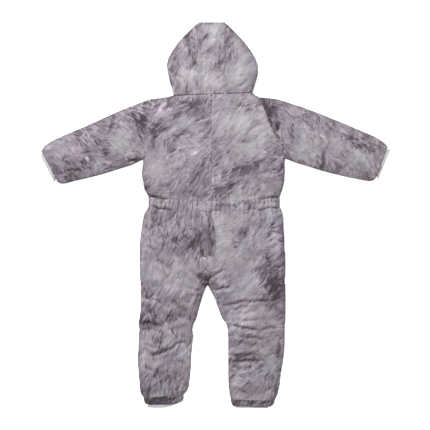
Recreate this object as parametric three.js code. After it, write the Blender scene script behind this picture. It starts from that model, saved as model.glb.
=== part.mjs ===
// A padded toddler snowsuit with a hood, laid out face down, so its back looks up.
// Millimetres. +X is to the wearer's right, +Y runs to the crown of the hood, and +Z points up from
// the surface that the suit lies on. Each cut piece of the suit is its own mesh.
import * as THREE from "three";

// Heights in the pile of two padded layers.
const SIDE_SEAM_Z = 13; // where the back and front layers meet along the outline
const LINING_FLOOR_Z = 10; // inside face of the front layer, which lies on the surface
const LINING_ROOF_Z = 18; // inside face of the back layer
const EDGE_ROUND = 20; // how far in from the outline the padding rounds over
const EDGE_RISE = 10.5; // height that it gains there
const CROWN_RISE = 7.5; // further loft in the middle of a limb
const CROWN_REACH = 42;
const BODY_RISE = 4; // extra loft over the wide back
const BODY_FROM = 60;
const BODY_TO = 150;
const UNDER_ROUND = SIDE_SEAM_Z;
const EDGE_WALL = 5; // wall where the layers are sewn together at the side
const EDGE_WALL_FADE = 25;
const NARROW_WALL_SHARE = 0.3; // most of a narrow piece's width that this wall takes
const LINING_ROUND = 8;
const LEAST_WALL = 3;
const INSIDE_CLEAR = 0.4; // half of the least gap between the inside faces of one wrapped piece

// At the wrist and ankle hems the padding is sewn down to a thinner wall.
const HEM_FLAT = 12;
const HEM_REACH = 30;
const HEM_FLOOR_Z = 4;
const HEM_ROOF_Z = 17;
const HEM_TOP_Z = 22;

const SEAM_GAP = 0.3;
const HALF_GAP = SEAM_GAP / 2;
const SEAM_DEPTH = 4.5;
const SEAM_REACH = 15;
const ROW_STEP = 19; // longest step between two rows of points
const FLAT_ROW_STEP = 26;

// Columns of points as shares of the way across a piece.
const EDGE_COLUMNS = [0, 0.009, 0.035, 0.075, 0.13];
const SEAM_COLUMNS = [0, 0.05, 0.12];
const MIDDLE_COLUMNS = [0.25, 0.375, 0.5, 0.625, 0.75];
const FLAT_MIDDLE_COLUMNS = [0.25, 0.5, 0.75];
const mirrored = (columns) => [...columns].reverse().map((t) => 1 - t);
const PANEL = [...SEAM_COLUMNS, ...MIDDLE_COLUMNS, ...mirrored(EDGE_COLUMNS)];
const FLAT_EDGE_COLUMNS = [0, 0.02, 0.06, 0.13];
const FLAT_PANEL = [...SEAM_COLUMNS, ...FLAT_MIDDLE_COLUMNS, ...mirrored(FLAT_EDGE_COLUMNS)];
const LIMB = [...EDGE_COLUMNS, ...MIDDLE_COLUMNS, ...mirrored(EDGE_COLUMNS)];
const FLAT_LIMB = [...FLAT_EDGE_COLUMNS, ...FLAT_MIDDLE_COLUMNS, ...mirrored(FLAT_EDGE_COLUMNS)];

const CENTRE_X = -8; // centre back and centre front lie a little left of the outline's middle
const NECK_LEFT = { x: -101, y: 281 };
const NECK_RIGHT = { x: 88, y: 288 };

const ZIP = { half: 5, clear: 0.3, top: 246, square: -100, point: -111, low: 0.4, high: 3.4 };
const SLIDER = { half: 4, pullHalf: 2.5, shoulder: 263, top: 277, low: 0.4, high: 5 };

const point = (x, y) => ({ x, y });
const mix = (a, b, t) => a + (b - a) * t;
const between = (a, b, t) => point(mix(a.x, b.x, t), mix(a.y, b.y, t));
const steps = (count) => Array.from({ length: count + 1 }, (_, i) => i / count);
const clamp01 = (t) => Math.min(1, Math.max(0, t));
const smooth = (t) => clamp01(t) ** 2 * (3 - 2 * clamp01(t));
const quarterRound = (t) => Math.sqrt(1 - (1 - clamp01(t)) ** 2);
const distance = (a, b) => Math.hypot(b.x - a.x, b.y - a.y);

// A table with named columns becomes a list of rows with those names.
const table = (columns, rows) =>
  rows.map((row) => Object.fromEntries(columns.split(" ").map((name, i) => [name, row[i]])));

// A curved seam is cut as four straight runs, so that the pieces on both its sides share them.
const quartered = (path) => (t) => {
  const run = Math.min(3, Math.floor(t * 4));
  return between(path(run / 4), path((run + 1) / 4), t * 4 - run);
};

// A section across a piece: at(t) runs over the back from the inner end to the outer end, under(t)
// does so in the front layer, and an end's edge is 1 on the outline and 0 on a seam.
const section = (at, inEdge, outEdge, under = at) => ({ at, under, inEdge, outEdge });
const straight = (row) =>
  section((t) => between(point(row.inX, row.inY), point(row.outX, row.outY), t), row.inEdge, 1);

// The armhole seam bows away from a straight line by its bow at mid height.
const ARMHOLE_LEFT = { top: point(-155, 273), under: point(-170, 130), bow: 11 };
const ARMHOLE_RIGHT = { top: point(103, 278), under: point(165, 132), bow: -3 };
const armholePath = (hole) =>
  quartered((t) => {
    const p = between(hole.top, hole.under, t);
    return point(p.x + hole.bow * 4 * t * (1 - t), p.y);
  });

// The neck seam is straight, from the left notch of the outline to the right one.
function neckY(x) {
  return mix(NECK_LEFT.y, NECK_RIGHT.y, (x - NECK_LEFT.x) / (NECK_RIGHT.x - NECK_LEFT.x));
}

// The elastic casing across the back dips in the middle.
const WAIST = { left: -158, right: 152.5, topMiddle: 31, topSide: 44, lowMiddle: 10, lowSide: 20 };
const waistPath = (sideX, middle, side) =>
  quartered((t) => point(mix(CENTRE_X, sideX, t), middle + (side - middle) * t ** 2));
const waistTop = (sideX) => waistPath(sideX, WAIST.topMiddle, WAIST.topSide);
const waistLow = (sideX) => waistPath(sideX, WAIST.lowMiddle, WAIST.lowSide);

// Shoulder and side sections of the body above the waist.
const PANEL_NAMES = "inX inY outX outY inEdge";
const SHOULDER_LEFT = table(PANEL_NAMES, [
  [CENTRE_X, neckY(CENTRE_X), NECK_LEFT.x, NECK_LEFT.y, 0],
  [CENTRE_X, 274, -130, 276, 0],
]);
const SHOULDER_RIGHT = table(PANEL_NAMES, [
  [CENTRE_X, neckY(CENTRE_X), NECK_RIGHT.x, NECK_RIGHT.y, 0],
  [CENTRE_X, 274, 95, 281, 0],
]);
const SIDE_LEFT = table(PANEL_NAMES, [
  [CENTRE_X, 98, -175, 98, 0],
  [CENTRE_X, 76, -171, 76, 0],
  [CENTRE_X, 54, -168, 59, 0],
]);
const SIDE_RIGHT = table(PANEL_NAMES, [
  [CENTRE_X, 98, 165, 98, 0],
  [CENTRE_X, 76, 163, 76, 0],
  [CENTRE_X, 54, 159, 59, 0],
]);
const ARMHOLE_LEVELS = [262, 230, 198, 164, 130];

function bodySections(shoulder, hole, side) {
  const path = armholePath(hole);
  const armhole = ARMHOLE_LEVELS.map((y, i) => {
    const edge = i === 0 || i === 4 ? 1 : 0;
    return section((t) => between(point(CENTRE_X, y), path(i / 4), t), 0, edge);
  });
  return [...shoulder.map(straight), ...armhole, ...side.map(straight)];
}

// Seat and leg, from the casing to the ankle. Below the crotch both ends lie on the outline.
const LEG_LEFT = table(PANEL_NAMES, [
  [-7, 0, -169, 3, 0],
  [-3, -23, -174, -25, 0],
  [0, -48, -177, -48, 0],
  [3, -72, -179, -73, 0],
  [1, -98, -179, -100, 0],
  [-6, -129, -179, -129, 0],
  [-13, -150, -178, -150, 0],
  [-16, -159, -177, -159, 0],
  [-18, -165, -177, -167, 1],
  [-23, -176, -177, -180, 1],
  [-30, -195, -177, -198, 1],
  [-38, -223, -177, -223, 1],
  [-43, -243, -180, -243, 1],
  [-50, -256, -182, -256, 1],
  [-53, -270, -180, -268, 1],
  [-50, -284, -181, -284, 1],
  [-53, -303, -182, -303, 1],
  [-55, -325, -183, -327, 1],
  [-56, -350, -183, -352, 1],
  [-58, -376, -181, -378, 1],
  [-61, -402, -179, -403, 1],
  [-65, -413, -177, -419, 1],
  [-75, -423, -168, -430, 1],
]);
const LEG_RIGHT = table(PANEL_NAMES, [
  [-7, 0, 160, 4, 0],
  [-3, -23, 162, -22, 0],
  [0, -48, 163, -48, 0],
  [3, -72, 164, -73, 0],
  [1, -98, 166, -98, 0],
  [-6, -129, 166, -129, 0],
  [-13, -150, 165, -150, 0],
  [-16, -159, 165, -159, 0],
  [-18, -165, 166, -167, 1],
  [-13, -176, 166, -180, 1],
  [-3, -195, 167, -198, 1],
  [5, -218, 167, -220, 1],
  [14, -242, 166, -243, 1],
  [25, -256, 165, -257, 1],
  [28, -271, 165, -271, 1],
  [29, -298, 165, -298, 1],
  [29, -322, 163, -320, 1],
  [29, -346, 160, -346, 1],
  [29, -373, 155, -373, 1],
  [30, -402, 152, -402, 1],
  [32, -420, 147, -423, 1],
  [36, -434, 139, -437, 1],
]);
const legSections = (rows, sideX) => [section(waistLow(sideX), 0, 1), ...rows.map(straight)];

// Sleeves, from the armhole to the wrist hem: one row for each section, from top edge to underarm.
const SLEEVE_NAMES = "topX topY lowX lowY";
const SLEEVE_LEFT = table(SLEEVE_NAMES, [
  [-194, 258, -198, 116],
  [-222, 247, -231, 106],
  [-264, 228, -262, 96],
  [-306, 209, -297, 87],
  [-349, 191, -332, 79],
  [-386, 174, -353, 73],
  [-402, 163, -364, 73],
  [-410, 150, -372, 79],
]);
const SLEEVE_RIGHT = table(SLEEVE_NAMES, [
  [143, 274, 189, 122],
  [175, 264, 213, 115],
  [211, 252, 241, 106],
  [248, 238, 274, 97],
  [295, 219, 308, 89],
  [340, 200, 343, 82],
  [375, 185, 361, 79],
  [396, 172, 370, 80],
  [406, 160, 377, 86],
]);
const sleeveSections = (hole, rows) => [
  section(armholePath(hole), 1, 1),
  ...rows.map((r) => section((t) => between(point(r.topX, r.topY), point(r.lowX, r.lowY), t), 1, 1)),
];

// Hood: a straight centre strip between two side pieces, which wrap round the outline to the face.
const STRIP = { left: -41, right: 24, top: 453.5, faceY: 409 };
const HOOD_NAMES = "y edge face";
const HOOD_LEFT = table(HOOD_NAMES, [
  [null, -99, -14],
  [294, -101, -25],
  [313, -108, -38],
  [336, -113, -46],
  [354, -115, -49],
  [370, -111, -49],
  [388, -100, -47],
  [409, -86, STRIP.left],
  [426, -69, STRIP.left],
  [438, -57, STRIP.left],
  [447, -48, STRIP.left],
  [450, -44.6, STRIP.left],
]);
const HOOD_RIGHT = table(HOOD_NAMES, [
  [null, 87, -2],
  [296, 91, 9],
  [313, 96, 22],
  [332, 101, 30],
  [350, 101, 33],
  [370, 94, 33],
  [388, 83, 30],
  [409, 67, STRIP.right],
  [426, 51, STRIP.right],
  [438, 39, STRIP.right],
  [447, 30.5, STRIP.right],
  [450, 27.4, STRIP.right],
]);

// The hood's first row follows the neck seam, and its others are level.
const hoodLevel = (row) => (x) => row.y ?? neckY(x);
function hoodSections(rows, stripX) {
  return rows.map((row) => {
    const level = hoodLevel(row);
    const line = (from) => (t) => point(mix(from, row.edge, t), level(mix(from, row.edge, t)));
    return section(line(stripX), 0, 1, line(row.face));
  });
}

// Ankle casings, the pale lining that shows below them, and the lining at the wrists. Each is a
// flattened tube through lines from (aX, aY) to (bX, bY) that bow at their middle, between two heights.
const BAND_NAMES = "aX aY bX bY bow";
const CASING_SIZE = { low: 0, high: 22, wall: 4, gathers: 10, swell: 1.3 };
const ANKLE_LINING_SIZE = { low: 4.5, high: 17, wall: 2.5, gathers: 0, swell: 0 };
const WRIST_LINING_SIZE = { low: 4.6, high: 16.2, wall: 2.5, gathers: 0, swell: 0 };
const ANKLE_CASING_LEFT = table(BAND_NAMES, [
  [-168, -430 - HALF_GAP, -75, -423 - HALF_GAP, 0],
  [-168, -435, -74, -429, 0],
  [-166.5, -440, -75.5, -434.5, -1],
  [-163, -444.5, -79.5, -439, -2],
]);
const ANKLE_CASING_RIGHT = table(BAND_NAMES, [
  [36, -434 - HALF_GAP, 139, -437 - HALF_GAP, 0],
  [36.5, -439, 139, -441, 0],
  [38.5, -444, 136, -446, 0],
  [42, -449.5, 129, -450.5, 0],
]);
const ANKLE_LINING_LEFT = table(BAND_NAMES, [
  [-160.5, -433, -82.5, -428, 0],
  [-156.5, -444, -86.5, -439, -2],
  [-160, -448.5, -87, -442.5, -5],
]);
const ANKLE_LINING_RIGHT = table(BAND_NAMES, [
  [44, -438, 131, -440, 0],
  [48.5, -449.5, 122, -450.5, 0],
  [47, -452.5, 126, -453.5, 0],
]);
const WRIST_LINING_LEFT = table(BAND_NAMES, [
  [-399, 148.5, -367.2, 88.9, 0],
  [-407.4, 144, -375.6, 84.4, 0],
  [-411, 140, -378, 76.5, 0],
]);
const WRIST_LINING_RIGHT = table(BAND_NAMES, [
  [395, 157, 371, 95.5, 0],
  [404.1, 153.7, 379.9, 91.9, 0],
  [411, 154.5, 382, 83, 0],
]);

// The largest folds: each is a trough between two points that bows by bow at its middle.
const FOLD_NAMES = "fromX fromY toX toY bow depth reach";
const FOLDS = table(FOLD_NAMES, [
  [-163, -192, -55, -194, -18, 4, 10],
  [-184, -254, -45, -256, -8, 6, 10],
  [-158, -331, -53, -303, 5, 6, 10],
  [-147, -386, -122, -352, 0, 4, 9],
  [5, -216, 152, -202, 2, 5, 10],
  [22, -262, 136, -286, -3, 5, 10],
  [26, -328, 96, -316, -8, 5, 10],
  [26, -350, 116, -346, 0, 4, 9],
  [-243, 234, -236, 134, -8, 5, 11],
  [-200, 254, -160, 180, -6, 4, 10],
  [292, 206, 255, 100, 6, 5, 11],
  [132, 258, 158, 190, 5, 4, 10],
  [322, 178, 308, 118, 3, 3, 9],
  [-62, 402, -43, 344, 0, 4, 9],
  [-150, 178, -88, 215, 4, 3, 12],
  [128, 176, 62, 214, 4, 3, 12],
  [-146, -8, -128, -60, 0, 3, 10],
  [138, -8, 122, -56, 0, 3, 10],
]);

// The outline, as chains of points between one opening and the next. Each runs on a little past
// its hem, so that the padding isn't rounded off across the opening.
const HEM_RUN_ON = 25;
function runOn(chain) {
  const last = chain.at(-1);
  const before = chain.at(-2);
  return [...chain, between(before, last, 1 + HEM_RUN_ON / distance(before, last))];
}
const outEnds = (rows) => rows.map((row) => point(row.outX, row.outY));
const inEnds = (rows) => rows.map((row) => point(row.inX, row.inY));
const hoodEnds = (rows) => [...rows].reverse().map((row) => point(row.edge, hoodLevel(row)(row.edge)));
const topEnds = (rows) => rows.slice(0, -1).map((row) => point(row.topX, row.topY));
const lowEnds = (rows) => rows.slice(0, -1).map((row) => point(row.lowX, row.lowY));
const STRIP_TOP = [point(STRIP.left, STRIP.top), point(STRIP.right, STRIP.top)];
const upperChain = (start, hood, shoulder, hole, sleeve) => [
  ...start, ...hoodEnds(hood), ...outEnds(shoulder), hole.top, ...topEnds(sleeve),
];
const sideChain = (hole, side, sideX, leg) => [
  hole.under, ...outEnds(side), waistTop(sideX)(1), waistLow(sideX)(1), ...outEnds(leg),
];
const inseam = (leg) => inEnds(leg.filter((row) => row.inEdge));
const OUTLINE = [
  upperChain([...STRIP_TOP].reverse(), HOOD_LEFT, SHOULDER_LEFT, ARMHOLE_LEFT, SLEEVE_LEFT),
  upperChain(STRIP_TOP, HOOD_RIGHT, SHOULDER_RIGHT, ARMHOLE_RIGHT, SLEEVE_RIGHT),
  [ARMHOLE_LEFT.under, ...lowEnds(SLEEVE_LEFT)],
  [ARMHOLE_RIGHT.under, ...lowEnds(SLEEVE_RIGHT)],
  sideChain(ARMHOLE_LEFT, SIDE_LEFT, WAIST.left, LEG_LEFT),
  sideChain(ARMHOLE_RIGHT, SIDE_RIGHT, WAIST.right, LEG_RIGHT),
  inseam(LEG_LEFT),
  inseam(LEG_RIGHT),
].map(runOn);

const lastLine = (sections) => [sections.at(-1).at(0), sections.at(-1).at(1)];
const HEMS = [
  sleeveSections(ARMHOLE_LEFT, SLEEVE_LEFT),
  sleeveSections(ARMHOLE_RIGHT, SLEEVE_RIGHT),
  legSections(LEG_LEFT, WAIST.left),
  legSections(LEG_RIGHT, WAIST.right),
].map(lastLine);

const alongQuarters = (path) => steps(4).map(path);
const CROTCH = point(-18, -165);
const SEAMS = [
  [NECK_LEFT, NECK_RIGHT],
  [point(CENTRE_X, neckY(CENTRE_X)), point(CENTRE_X, WAIST.topMiddle)],
  [point(CENTRE_X, WAIST.lowMiddle), ...inEnds(LEG_LEFT.filter((row) => !row.inEdge)), CROTCH],
  alongQuarters(armholePath(ARMHOLE_LEFT)),
  alongQuarters(armholePath(ARMHOLE_RIGHT)),
  alongQuarters(waistTop(WAIST.left)),
  alongQuarters(waistTop(WAIST.right)),
  alongQuarters(waistLow(WAIST.left)),
  alongQuarters(waistLow(WAIST.right)),
  [point(STRIP.left, neckY(STRIP.left)), STRIP_TOP[0]],
  [point(STRIP.right, neckY(STRIP.right)), STRIP_TOP[1]],
];

function distanceToSegment(p, a, b) {
  const dx = b.x - a.x;
  const dy = b.y - a.y;
  const t = clamp01(((p.x - a.x) * dx + (p.y - a.y) * dy) / (dx * dx + dy * dy));
  return Math.hypot(p.x - a.x - t * dx, p.y - a.y - t * dy);
}
const distanceToChain = (p, chain) =>
  Math.min(...chain.slice(1).map((b, i) => distanceToSegment(p, chain[i], b)));
const distanceToAny = (p, chains) => Math.min(...chains.map((chain) => distanceToChain(p, chain)));

// How far the folds press the padding down at a point.
function foldDepth(p) {
  return FOLDS.reduce((deepest, fold) => {
    const dx = fold.toX - fold.fromX;
    const dy = fold.toY - fold.fromY;
    const length = Math.hypot(dx, dy);
    const t = ((p.x - fold.fromX) * dx + (p.y - fold.fromY) * dy) / length ** 2;
    if (t < 0 || t > 1) return deepest;
    const aside = ((p.y - fold.fromY) * dx - (p.x - fold.fromX) * dy) / length;
    const off = aside * Math.sign(dx) - fold.bow * 4 * t * (1 - t);
    const fade = smooth(4 * Math.min(t, 1 - t));
    return Math.max(deepest, fold.depth * fade * Math.exp(-((off / fold.reach) ** 2)));
  }, 0);
}

// Heights of the two layers over the plan: the puffed back, the plain inside and the flat front.
const hemShare = (p) => smooth((HEM_REACH - distanceToAny(p, HEMS)) / (HEM_REACH - HEM_FLAT));
const roofHeight = (p, inset) =>
  mix(SIDE_SEAM_Z, mix(LINING_ROOF_Z, HEM_ROOF_Z, hemShare(p)), quarterRound(inset / LINING_ROUND));
const floorHeight = (p, inset) =>
  mix(SIDE_SEAM_Z, mix(LINING_FLOOR_Z, HEM_FLOOR_Z, hemShare(p)), quarterRound(inset / LINING_ROUND));
const underHeight = (inset) => SIDE_SEAM_Z * (1 - quarterRound(inset / UNDER_ROUND));

function backHeight(p, inset) {
  const round = quarterRound(inset / EDGE_ROUND);
  const crown = CROWN_RISE * (1 - Math.exp(-((inset / CROWN_REACH) ** 2)));
  const body = BODY_RISE * smooth((inset - BODY_FROM) / (BODY_TO - BODY_FROM));
  const seam = SEAM_DEPTH * (1 - clamp01(distanceToAny(p, SEAMS) / SEAM_REACH)) ** 2;
  const loft = EDGE_RISE * round + crown + body - (seam + foldDepth(p)) * round;
  const height = mix(SIDE_SEAM_Z + loft, mix(SIDE_SEAM_Z, HEM_TOP_Z, round), hemShare(p));
  return Math.max(height, roofHeight(p, inset - EDGE_WALL) + LEAST_WALL * round);
}

// Rows between the sections of a piece, no further apart than a step.
function fillSections(sections, step = ROW_STEP) {
  const travel = (now, next) => Math.max(...[0, 0.5, 1].map((t) => distance(now.at(t), next.at(t))));
  const filled = sections.slice(1).flatMap((next, i) => {
    const now = sections[i];
    const count = Math.max(1, Math.round(travel(now, next) / step));
    return steps(count).slice(0, -1).map((s) => ({
      at: (t) => between(now.at(t), next.at(t), s),
      under: (t) => between(now.under(t), next.under(t), s),
      inEdge: mix(now.inEdge, next.inEdge, s),
      outEdge: mix(now.outEdge, next.outEdge, s),
    }));
  });
  return [...filled, sections.at(-1)];
}

// Where the inside face stands for a column: further in beside an outline edge.
function insideShare(path, row, t) {
  const length = distance(path(0), path(1));
  const wall = Math.min(EDGE_WALL, NARROW_WALL_SHARE * length);
  const fade = Math.min(EDGE_WALL_FADE, length / 2);
  const inset = (o, edge) => o + edge * wall * clamp01(1 - o / fade);
  if (t < 0.5) return inset(t * length, row.inEdge) / length;
  return 1 - inset((1 - t) * length, row.outEdge) / length;
}

const onEdge = (row, t) => (t === 0 && row.inEdge === 1) || (t === 1 && row.outEdge === 1);

// The outer and inner point of one column in the back layer or the front layer. clear lifts the
// back layer off the front layer where two pieces are sewn together.
function backPair(row, t, clear = 0) {
  const p = row.at(t);
  const q = row.at(insideShare(row.at, row, t));
  const seam = SIDE_SEAM_Z + clear;
  if (onEdge(row, t)) return { outer: { ...p, z: seam }, inner: { ...q, z: seam } };
  const top = backHeight(p, distanceToAny(p, OUTLINE));
  const roof = roofHeight(q, distanceToAny(q, OUTLINE) - EDGE_WALL);
  const least = SIDE_SEAM_Z + (clear || INSIDE_CLEAR);
  return { outer: { ...p, z: Math.max(least, top) }, inner: { ...q, z: Math.max(least, roof) } };
}
function frontPair(row, t, clear = 0) {
  const p = row.under(t);
  const q = row.under(insideShare(row.under, row, t));
  const seam = SIDE_SEAM_Z - clear;
  if (onEdge(row, t)) return { outer: { ...p, z: seam }, inner: { ...q, z: seam } };
  const low = underHeight(distanceToAny(p, OUTLINE));
  const floor = floorHeight(q, distanceToAny(q, OUTLINE) - EDGE_WALL);
  const most = SIDE_SEAM_Z - (clear || INSIDE_CLEAR);
  return { outer: { ...p, z: Math.min(most, low) }, inner: { ...q, z: Math.min(most, floor) } };
}

function solid(name, material, points, index) {
  const geometry = new THREE.BufferGeometry();
  const flat = points.flatMap((p) => [p.x, p.y, p.z]);
  geometry.setAttribute("position", new THREE.Float32BufferAttribute(flat, 3));
  geometry.setIndex(index);
  geometry.computeVertexNormals();
  const mesh = new THREE.Mesh(geometry, material);
  mesh.name = name;
  return mesh;
}

function signedVolume(points, index) {
  const at = (k) => new THREE.Vector3(points[index[k]].x, points[index[k]].y, points[index[k]].z);
  let sum = 0;
  for (let k = 0; k < index.length; k += 3) sum += at(k).dot(at(k + 1).cross(at(k + 2)));
  return sum;
}

// A closed wall from a grid of outer and inner points, whose last column can join the first.
function wallMesh(name, material, pairs, ring = false) {
  const columns = pairs[0].length;
  const rows = pairs.length;
  const flat = pairs.flat();
  const points = [...flat.map((pair) => pair.outer), ...flat.map((pair) => pair.inner)];
  const index = [];
  const out = (i, j) => i * columns + (j % columns);
  const inn = (i, j) => rows * columns + out(i, j);
  const quad = (a, b, c, d) => index.push(a, b, c, a, c, d);
  const spans = ring ? columns : columns - 1;
  const end = rows - 1;
  for (let j = 0; j < spans; j++) {
    for (let i = 0; i < end; i++) {
      quad(out(i, j), out(i, j + 1), out(i + 1, j + 1), out(i + 1, j));
      quad(inn(i, j), inn(i + 1, j), inn(i + 1, j + 1), inn(i, j + 1));
    }
    quad(out(0, j + 1), out(0, j), inn(0, j), inn(0, j + 1));
    quad(out(end, j), out(end, j + 1), inn(end, j + 1), inn(end, j));
  }
  for (let i = 0; i < end && !ring; i++) {
    quad(out(i, 0), out(i + 1, 0), inn(i + 1, 0), inn(i, 0));
    quad(out(i + 1, spans), out(i, spans), inn(i, spans), inn(i + 1, spans));
  }
  if (signedVolume(points, index) < 0) index.reverse();
  return solid(name, material, points, index);
}

const cloth = new THREE.MeshStandardMaterial({ color: 0xa0989f, roughness: 0.9 });
const trim = new THREE.MeshStandardMaterial({ color: 0xdcd6d2, roughness: 0.95 });
const zip = new THREE.MeshStandardMaterial({ color: 0x7c757c, roughness: 0.6 });

// Neighbours at a seam each give up half of its gap: x moves the inner and outer end columns, and
// y the first and last rows.
function pulledBack(pairs, { inX = 0, outX = 0, firstY = 0, lastY = 0 }) {
  return pairs.map((row, i) =>
    row.map((pair, j) => {
      const x = (j === 0 ? inX : 0) + (j === row.length - 1 ? outX : 0);
      const y = (i === 0 ? firstY : 0) + (i === pairs.length - 1 ? lastY : 0);
      return moved(pair, x, y);
    }),
  );
}
function moved({ outer, inner }, x, y = 0) {
  return {
    outer: { ...outer, x: outer.x + x, y: outer.y + y },
    inner: { ...inner, x: inner.x + x, y: inner.y + y },
  };
}
const panelGaps = (side) => ({
  inX: side * HALF_GAP, outX: -side * HALF_GAP, firstY: -HALF_GAP, lastY: HALF_GAP,
});

// Back, seat and legs. side is -1 on the wearer's left and 1 on the right.
function backPiece(name, sections, columns, side) {
  const pairs = fillSections(sections).map((row) => columns.map((t) => backPair(row, t, HALF_GAP)));
  return wallMesh(name, cloth, pulledBack(pairs, panelGaps(side)));
}

// The front is one length from neck to ankle. Its centre edge is straight, first beside the zip and
// then down to the crotch.
const ZIP_END = ZIP.point - 2;
const zipClear = (y) =>
  mix(ZIP.half + ZIP.clear, HALF_GAP, clamp01((ZIP.square - y) / (ZIP.square - ZIP_END)));
function rowAt(rows, y) {
  const next = rows.findIndex((row) => row.inY < y);
  const [above, below] = [rows[next - 1], rows[next]];
  const s = (y - above.inY) / (below.inY - above.inY);
  const entries = Object.keys(above).map((key) => [key, mix(above[key], below[key], s)]);
  return Object.fromEntries(entries);
}
function frontSections(body, sideX, leg) {
  const straightened = leg.map((row) => (row.inEdge ? row : { ...row, inX: CENTRE_X }));
  const zipRows = [ZIP.square, ZIP_END].map((y) => rowAt(straightened, y));
  const waist = [waistTop(sideX), waistLow(sideX)].map((path) =>
    straight({ inX: CENTRE_X, inY: path(0).y, outX: sideX, outY: path(1).y, inEdge: 0 }),
  );
  const rows = [...straightened, ...zipRows].sort((a, b) => b.inY - a.inY);
  return [...body, ...waist, ...rows.map(straight)];
}
function frontPiece(name, sections, side) {
  const reach = FLAT_EDGE_COLUMNS.at(-1);
  const pairs = fillSections(sections, FLAT_ROW_STEP).map((row) => {
    const clear = row.inEdge > 0 ? 0 : zipClear(row.at(0).y) - HALF_GAP;
    return FLAT_LIMB.map((t) => moved(frontPair(row, t, HALF_GAP), side * clear * clamp01(1 - t / reach)));
  });
  return wallMesh(name, cloth, pulledBack(pairs, panelGaps(side)));
}

// A sleeve is one closed tube: over the back from top edge to underarm, then back underneath.
function sleeve(name, sections, side) {
  const under = [...FLAT_LIMB].reverse().slice(1, -1);
  const pairs = fillSections(sections).map((row, i) => {
    const ring = [...LIMB.map((t) => backPair(row, t)), ...under.map((t) => frontPair(row, t))];
    return ring.map((pair) => moved(pair, i === 0 ? side * HALF_GAP : 0));
  });
  return wallMesh(name, cloth, pairs, true);
}

// A hood side runs from the strip over the back, round the outline and under to the face.
function hoodSide(name, sections, side) {
  const under = [...FLAT_PANEL].reverse().slice(1);
  const pairs = fillSections(sections).map((row) => [
    ...PANEL.map((t) => backPair(row, t)),
    ...under.map((t) => frontPair(row, t)),
  ]);
  const x = side * HALF_GAP;
  return wallMesh(name, cloth, pulledBack(pairs, { inX: x, outX: x, firstY: HALF_GAP }));
}

// The centre strip runs up the back of the hood and folds under at the crown.
const STRIP_COLUMNS = [0, 0.1, 0.24, 0.5, 0.76, 0.9, 1];
const STRIP_ROWS = [303, 334, 365, 396, 420];
const CROWN_ROWS = table("outer inner", [
  [435, 433],
  [443.5, 439.5],
  [448.5, 443.5],
  [451.5, 446],
  [453, 447.7],
]);
function hoodCentre() {
  const across = (y) =>
    section((t) => {
      const x = mix(STRIP.left, STRIP.right, t);
      return point(x, y ?? neckY(x));
    }, 0, 0);
  const backRow = (row) => STRIP_COLUMNS.map((t) => backPair(row, t));
  const frontRow = (row) => STRIP_COLUMNS.map((t) => frontPair(row, t));
  const crownRow = (face) => (row) => {
    const inside = face(across(row.inner));
    return face(across(row.outer)).map((pair, j) => ({ outer: pair.outer, inner: inside[j].inner }));
  };
  const fold = STRIP_COLUMNS.map((t) => {
    const x = mix(STRIP.left, STRIP.right, t);
    const inner = { x, y: STRIP.top - EDGE_WALL, z: SIDE_SEAM_Z };
    return { outer: { x, y: STRIP.top, z: SIDE_SEAM_Z }, inner };
  });
  const pairs = [
    ...fillSections([null, ...STRIP_ROWS].map(across)).map(backRow),
    ...CROWN_ROWS.map(crownRow(backRow)),
    fold,
    ...[...CROWN_ROWS].reverse().map(crownRow(frontRow)),
    frontRow(across(STRIP.faceY)),
  ];
  return wallMesh("hood_centre", cloth, pulledBack(pairs, { inX: HALF_GAP, outX: -HALF_GAP, firstY: HALF_GAP }));
}

// The casing across the back is drawn up into gathers over its elastic.
const GATHER_SPANS = 28; // columns from the centre back to the side, two for each gather
const GATHER_SWELL = 1.5;
function waistCasing() {
  const shares = [...steps(GATHER_SPANS).filter((t) => t < 0.87), 0.925, 0.965, 0.991, 1];
  const columns = [
    ...[...shares].reverse().map((t) => ({ t, sideX: WAIST.left })),
    ...shares.slice(1).map((t) => ({ t, sideX: WAIST.right })),
  ];
  const pairs = [0, 0.3, 0.7, 1].map((s) =>
    columns.map(({ t, sideX }, j) => {
      const at = (u) => between(waistTop(sideX)(u), waistLow(sideX)(u), s);
      const pair = backPair(section(at, 0, 1), t, HALF_GAP);
      const flat = s === 0 || s === 1 || t > 0.98;
      const swell = flat ? 0 : GATHER_SWELL * (j % 2 ? 1 : -1);
      return { outer: { ...pair.outer, z: pair.outer.z + swell }, inner: pair.inner };
    }),
  );
  return wallMesh("waist_casing_back", cloth, pulledBack(pairs, { firstY: -HALF_GAP, lastY: HALF_GAP }));
}

// A flattened tube through the rows of a band, with its gathers raised on the upper side.
const PLAIN_BAND_COLUMNS = 20;
const BAND_SIDE_WALL = 1.3; // how much thicker the wall is at the two sides
function band(name, material, size, rows) {
  const count = size.gathers ? size.gathers * 4 : PLAIN_BAND_COLUMNS;
  const middle = (size.low + size.high) / 2;
  const rise = (size.high - size.low) / 2;
  const squared = (v) => Math.sign(v) * Math.sqrt(Math.abs(v));
  const pairs = rows.map((row, i) => {
    const [a, b] = [point(row.aX, row.aY), point(row.bX, row.bY)];
    const bowed = (t) => point(mix(a.x, b.x, t), mix(a.y, b.y, t) + row.bow * 4 * t * (1 - t));
    const inset = (size.wall * BAND_SIDE_WALL) / distance(a, b);
    const inside = i > 0 && i < rows.length - 1;
    return steps(count).slice(0, -1).map((s, j) => {
      const across = squared(Math.cos(s * 2 * Math.PI)) / 2;
      const up = squared(Math.sin(s * 2 * Math.PI));
      const swell = inside && up > 0 ? size.swell * (j % 2 ? 1 : -1) : 0;
      const outer = bowed(0.5 + across);
      const inner = bowed(0.5 + across * (1 - 2 * inset));
      return {
        outer: { ...outer, z: middle + up * (rise + swell) },
        inner: { ...inner, z: middle + up * (rise - size.wall) },
      };
    });
  });
  return wallMesh(name, material, pairs, true);
}

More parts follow.
